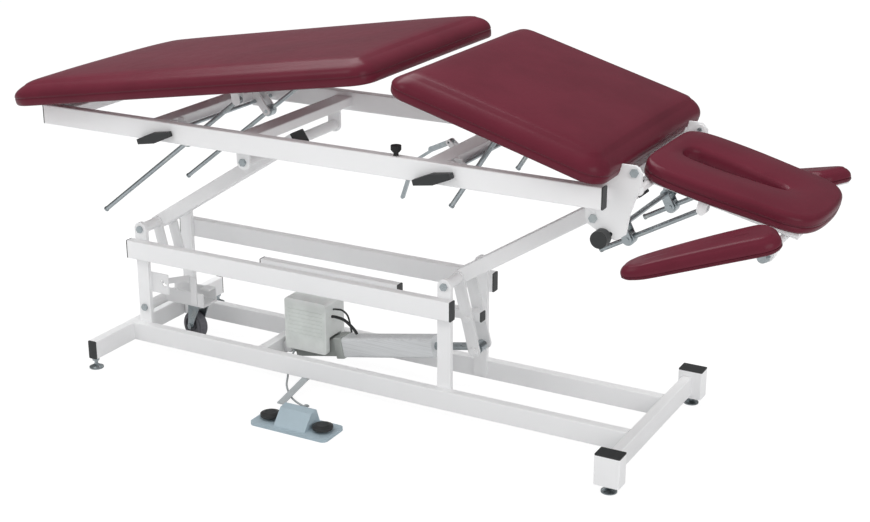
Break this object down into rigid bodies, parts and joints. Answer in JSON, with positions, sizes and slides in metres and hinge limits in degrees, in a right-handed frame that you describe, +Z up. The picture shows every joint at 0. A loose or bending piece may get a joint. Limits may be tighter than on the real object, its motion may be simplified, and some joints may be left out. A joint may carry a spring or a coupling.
{
  "type": "treatment table",
  "caption": "Height-adjusting treatment table with lifting leg and middle sections, a tilting head section with a face slot, two armrests and a foot switch.",
  "frame": {"origin": "centre of the bounding box, on the floor", "axes": "+X towards the head section, +Y to the far side, +Z up"},
  "size_m": [2.0668, 0.8056, 0.9264],
  "materials": {
    "white_coat": "satin powder coat",
    "pale_coat": "satin powder coat",
    "zinc": "bright zinc",
    "black_plastic": "fine grain",
    "black_rubber": "matt",
    "grey_plastic": "matt",
    "switch_plastic": "fine grain",
    "box_plastic": "fine grain",
    "drawn_aluminium": "satin anodised",
    "wine_vinyl": "grained upholstery vinyl"
  },
  "bodies": {
    "base": {"base_rails": "white_coat", "base_cross_tubes": "white_coat", "frame_caps": "black_plastic", "levelling_feet": "zinc", "uprights": "white_coat", "middle_rails": "white_coat", "base_bolts": "zinc", "actuator_mount": "pale_coat", "caster_gate": "pale_coat", "switch_hook": "zinc", "switch_body": "switch_plastic", "switch_cable": "black_plastic"},
    "pedal_left": {"switch_pedal_left": "black_plastic"},
    "pedal_right": {"switch_pedal_right": "black_plastic"},
    "caster_carrier": {"caster_carrier": "pale_coat"},
    "caster_fork": {"caster_fork": "zinc"},
    "caster_wheel": {"caster_wheel": "grey_plastic"},
    "actuator_body": {"actuator_body": "black_plastic", "actuator_tube": "drawn_aluminium", "control_box": "box_plastic", "box_cables": "black_plastic"},
    "actuator_rod": {"actuator_rod": "zinc"},
    "left_arm": {"left_arm": "white_coat", "left_arm_levers": "pale_coat", "left_arm_cap": "black_plastic"},
    "right_arm": {"right_arm": "white_coat", "right_arm_levers": "pale_coat", "right_arm_cap": "black_plastic"},
    "tie_bar": {"tie_bar": "white_coat", "tie_caps": "black_plastic"},
    "top_frame": {"top_rails": "white_coat", "top_cross_tubes": "white_coat", "pivot_plates": "white_coat", "top_caps": "black_plastic", "top_bolts": "zinc", "rubber_stops": "black_rubber", "end_knobs": "black_plastic", "rod_brackets": "pale_coat", "head_hanger": "zinc"},
    "leg_section": {"leg_cushion": "wine_vinyl", "leg_frame": "pale_coat"},
    "leg_rods": {"leg_rods": "zinc"},
    "leg_clamps": {"leg_clamps": "zinc"},
    "leg_release": {"leg_release": "zinc", "leg_grip": "black_plastic"},
    "middle_section": {"middle_cushion": "wine_vinyl", "middle_frame": "pale_coat"},
    "middle_rods": {"middle_rods": "zinc"},
    "middle_clamps": {"middle_clamps": "zinc"},
    "middle_release": {"middle_release": "zinc", "middle_grip": "black_plastic"},
    "selector_lever": {"selector_lever": "zinc"},
    "head_section": {"head_cushion": "wine_vinyl", "head_frame": "white_coat"},
    "head_rods": {"head_rods": "zinc"},
    "head_clamps": {"head_clamps": "zinc"},
    "armrest_near": {"armrest_near_pad": "wine_vinyl", "armrest_near_bracket": "pale_coat"},
    "armrest_far": {"armrest_far_pad": "wine_vinyl", "armrest_far_bracket": "pale_coat"}
  },
  "joints": [
    {"name": "lift", "type": "hinge", "parent": "base", "child": "right_arm", "pos_m": [0.138, 0, 0.346], "axis": [0, -1, 0], "range_deg": [-32.5, 27.5]},
    {"name": "left_arm_swing", "type": "hinge", "parent": "base", "child": "left_arm", "pos_m": [-0.79, 0, 0.346], "axis": [0, -1, 0], "range_deg": [-32.5, 27.5]},
    {"name": "top_level", "type": "hinge", "parent": "right_arm", "child": "top_frame", "pos_m": [0.56476, 0, 0.61787], "axis": [0, -1, 0], "range_deg": [-27.5, 32.5]},
    {"name": "tie_level", "type": "hinge", "parent": "right_arm", "child": "tie_bar", "pos_m": [0.16364, 0, 0.24315], "axis": [0, -1, 0], "range_deg": [-27.5, 32.5]},
    {"name": "actuator_tilt", "type": "hinge", "parent": "base", "child": "actuator_body", "pos_m": [-0.375, 0, 0.054], "axis": [0, -1, 0], "range_deg": [0, 3]},
    {"name": "rod_slide", "type": "slide", "parent": "actuator_body", "child": "actuator_rod", "axis": [0.9821, 0, 0.1882], "range_m": [-0.1031, 0.0873]},
    {"name": "leg_tilt", "type": "hinge", "parent": "top_frame", "child": "leg_section", "pos_m": [-0.935, 0, 0.709], "axis": [0, -1, 0], "range_deg": [-8.5, 15.7]},
    {"name": "leg_clamp_swing", "type": "hinge", "parent": "top_frame", "child": "leg_clamps", "pos_m": [-0.55, 0, 0.6418], "axis": [0, -1, 0], "range_deg": [-16.83, 31.08]},
    {"name": "leg_rod_slide", "type": "slide", "parent": "leg_clamps", "child": "leg_rods", "axis": [0.7878, 0, 0.616], "range_m": [-0.04833, 0.08927]},
    {"name": "middle_tilt", "type": "hinge", "parent": "top_frame", "child": "middle_section", "pos_m": [0.61096, 0, 0.734], "axis": [0, 1, 0], "range_deg": [-15, 14.1]},
    {"name": "middle_clamp_swing", "type": "hinge", "parent": "top_frame", "child": "middle_clamps", "pos_m": [0.24496, 0, 0.655], "axis": [0, -1, 0], "range_deg": [-13.29, 12.49]},
    {"name": "middle_rod_slide", "type": "slide", "parent": "middle_clamps", "child": "middle_rods", "axis": [0.5467, 0, 0.8373], "range_m": [-0.07338, 0.06898]},
    {"name": "head_tilt", "type": "hinge", "parent": "top_frame", "child": "head_section", "pos_m": [0.65596, 0, 0.733], "axis": [0, -1, 0], "range_deg": [-31.8, 23.2]},
    {"name": "head_clamp_swing", "type": "hinge", "parent": "top_frame", "child": "head_clamps", "pos_m": [0.62096, 0, 0.5583], "axis": [0, -1, 0], "range_deg": [-12.08, 8.81]},
    {"name": "head_rod_slide", "type": "slide", "parent": "head_clamps", "child": "head_rods", "axis": [0.8728, 0, 0.488], "range_m": [-0.0772, 0.05632]},
    {"name": "armrest_near_tilt", "type": "hinge", "parent": "head_section", "child": "armrest_near", "pos_m": [0.95796, -0.225, 0.606], "axis": [0, -1, 0], "range_deg": [-25, 25]},
    {"name": "armrest_far_tilt", "type": "hinge", "parent": "head_section", "child": "armrest_far", "pos_m": [0.95796, 0.225, 0.606], "axis": [0, -1, 0], "range_deg": [-25, 25]},
    {"name": "leg_release_turn", "type": "hinge", "parent": "top_frame", "child": "leg_release", "pos_m": [-0.58474, 0, 0.6662], "axis": [0, 1, 0], "range_deg": [0, 15], "stiffness_Nm_per_rad": 2, "springref_deg": -5.73},
    {"name": "middle_release_turn", "type": "hinge", "parent": "top_frame", "child": "middle_release", "pos_m": [0.20376, 0, 0.6722], "axis": [0, 1, 0], "range_deg": [0, 15], "stiffness_Nm_per_rad": 2, "springref_deg": -5.73},
    {"name": "selector_turn", "type": "hinge", "parent": "top_frame", "child": "selector_lever", "pos_m": [0.13076, -0.06, 0.698], "axis": [0, -1, 0], "range_deg": [-6, 6]},
    {"name": "caster_drop", "type": "hinge", "parent": "base", "child": "caster_carrier", "pos_m": [-0.79, 0, 0.122], "axis": [0, 1, 0], "range_deg": [0, 6]},
    {"name": "caster_swivel", "type": "hinge", "parent": "caster_carrier", "child": "caster_fork", "pos_m": [-0.682, 0, 0.11], "axis": [0, 0, 1], "continuous": true},
    {"name": "caster_spin", "type": "hinge", "parent": "caster_fork", "child": "caster_wheel", "pos_m": [-0.70711, 0.00673, 0.047], "axis": [-0.2588, -0.9659, 0], "continuous": true},
    {"name": "pedal_left_press", "type": "slide", "parent": "base", "child": "pedal_left", "axis": [0, 0, -1], "range_m": [0, 0.004], "stiffness_N_per_m": 900, "springref_m": -0.002},
    {"name": "pedal_right_press", "type": "slide", "parent": "base", "child": "pedal_right", "axis": [0, 0, -1], "range_m": [0, 0.004], "stiffness_N_per_m": 900, "springref_m": -0.002}
  ],
  "couplings": [
    {"joint": "left_arm_swing", "follows": "lift", "ratio": 1},
    {"joint": "top_level", "follows": "lift", "ratio": -1},
    {"joint": "tie_level", "follows": "lift", "ratio": -1},
    {"joint": "rod_slide", "follows": "lift", "m_per_rad": 0.1818},
    {"joint": "leg_clamp_swing", "follows": "leg_tilt", "ratio": 1.9795},
    {"joint": "leg_rod_slide", "follows": "leg_tilt", "m_per_rad": 0.3258},
    {"joint": "middle_clamp_swing", "follows": "middle_tilt", "ratio": 0.8858},
    {"joint": "middle_rod_slide", "follows": "middle_tilt", "m_per_rad": 0.2803},
    {"joint": "head_clamp_swing", "follows": "head_tilt", "ratio": 0.3798},
    {"joint": "head_rod_slide", "follows": "head_tilt", "m_per_rad": 0.1391}
  ]
}
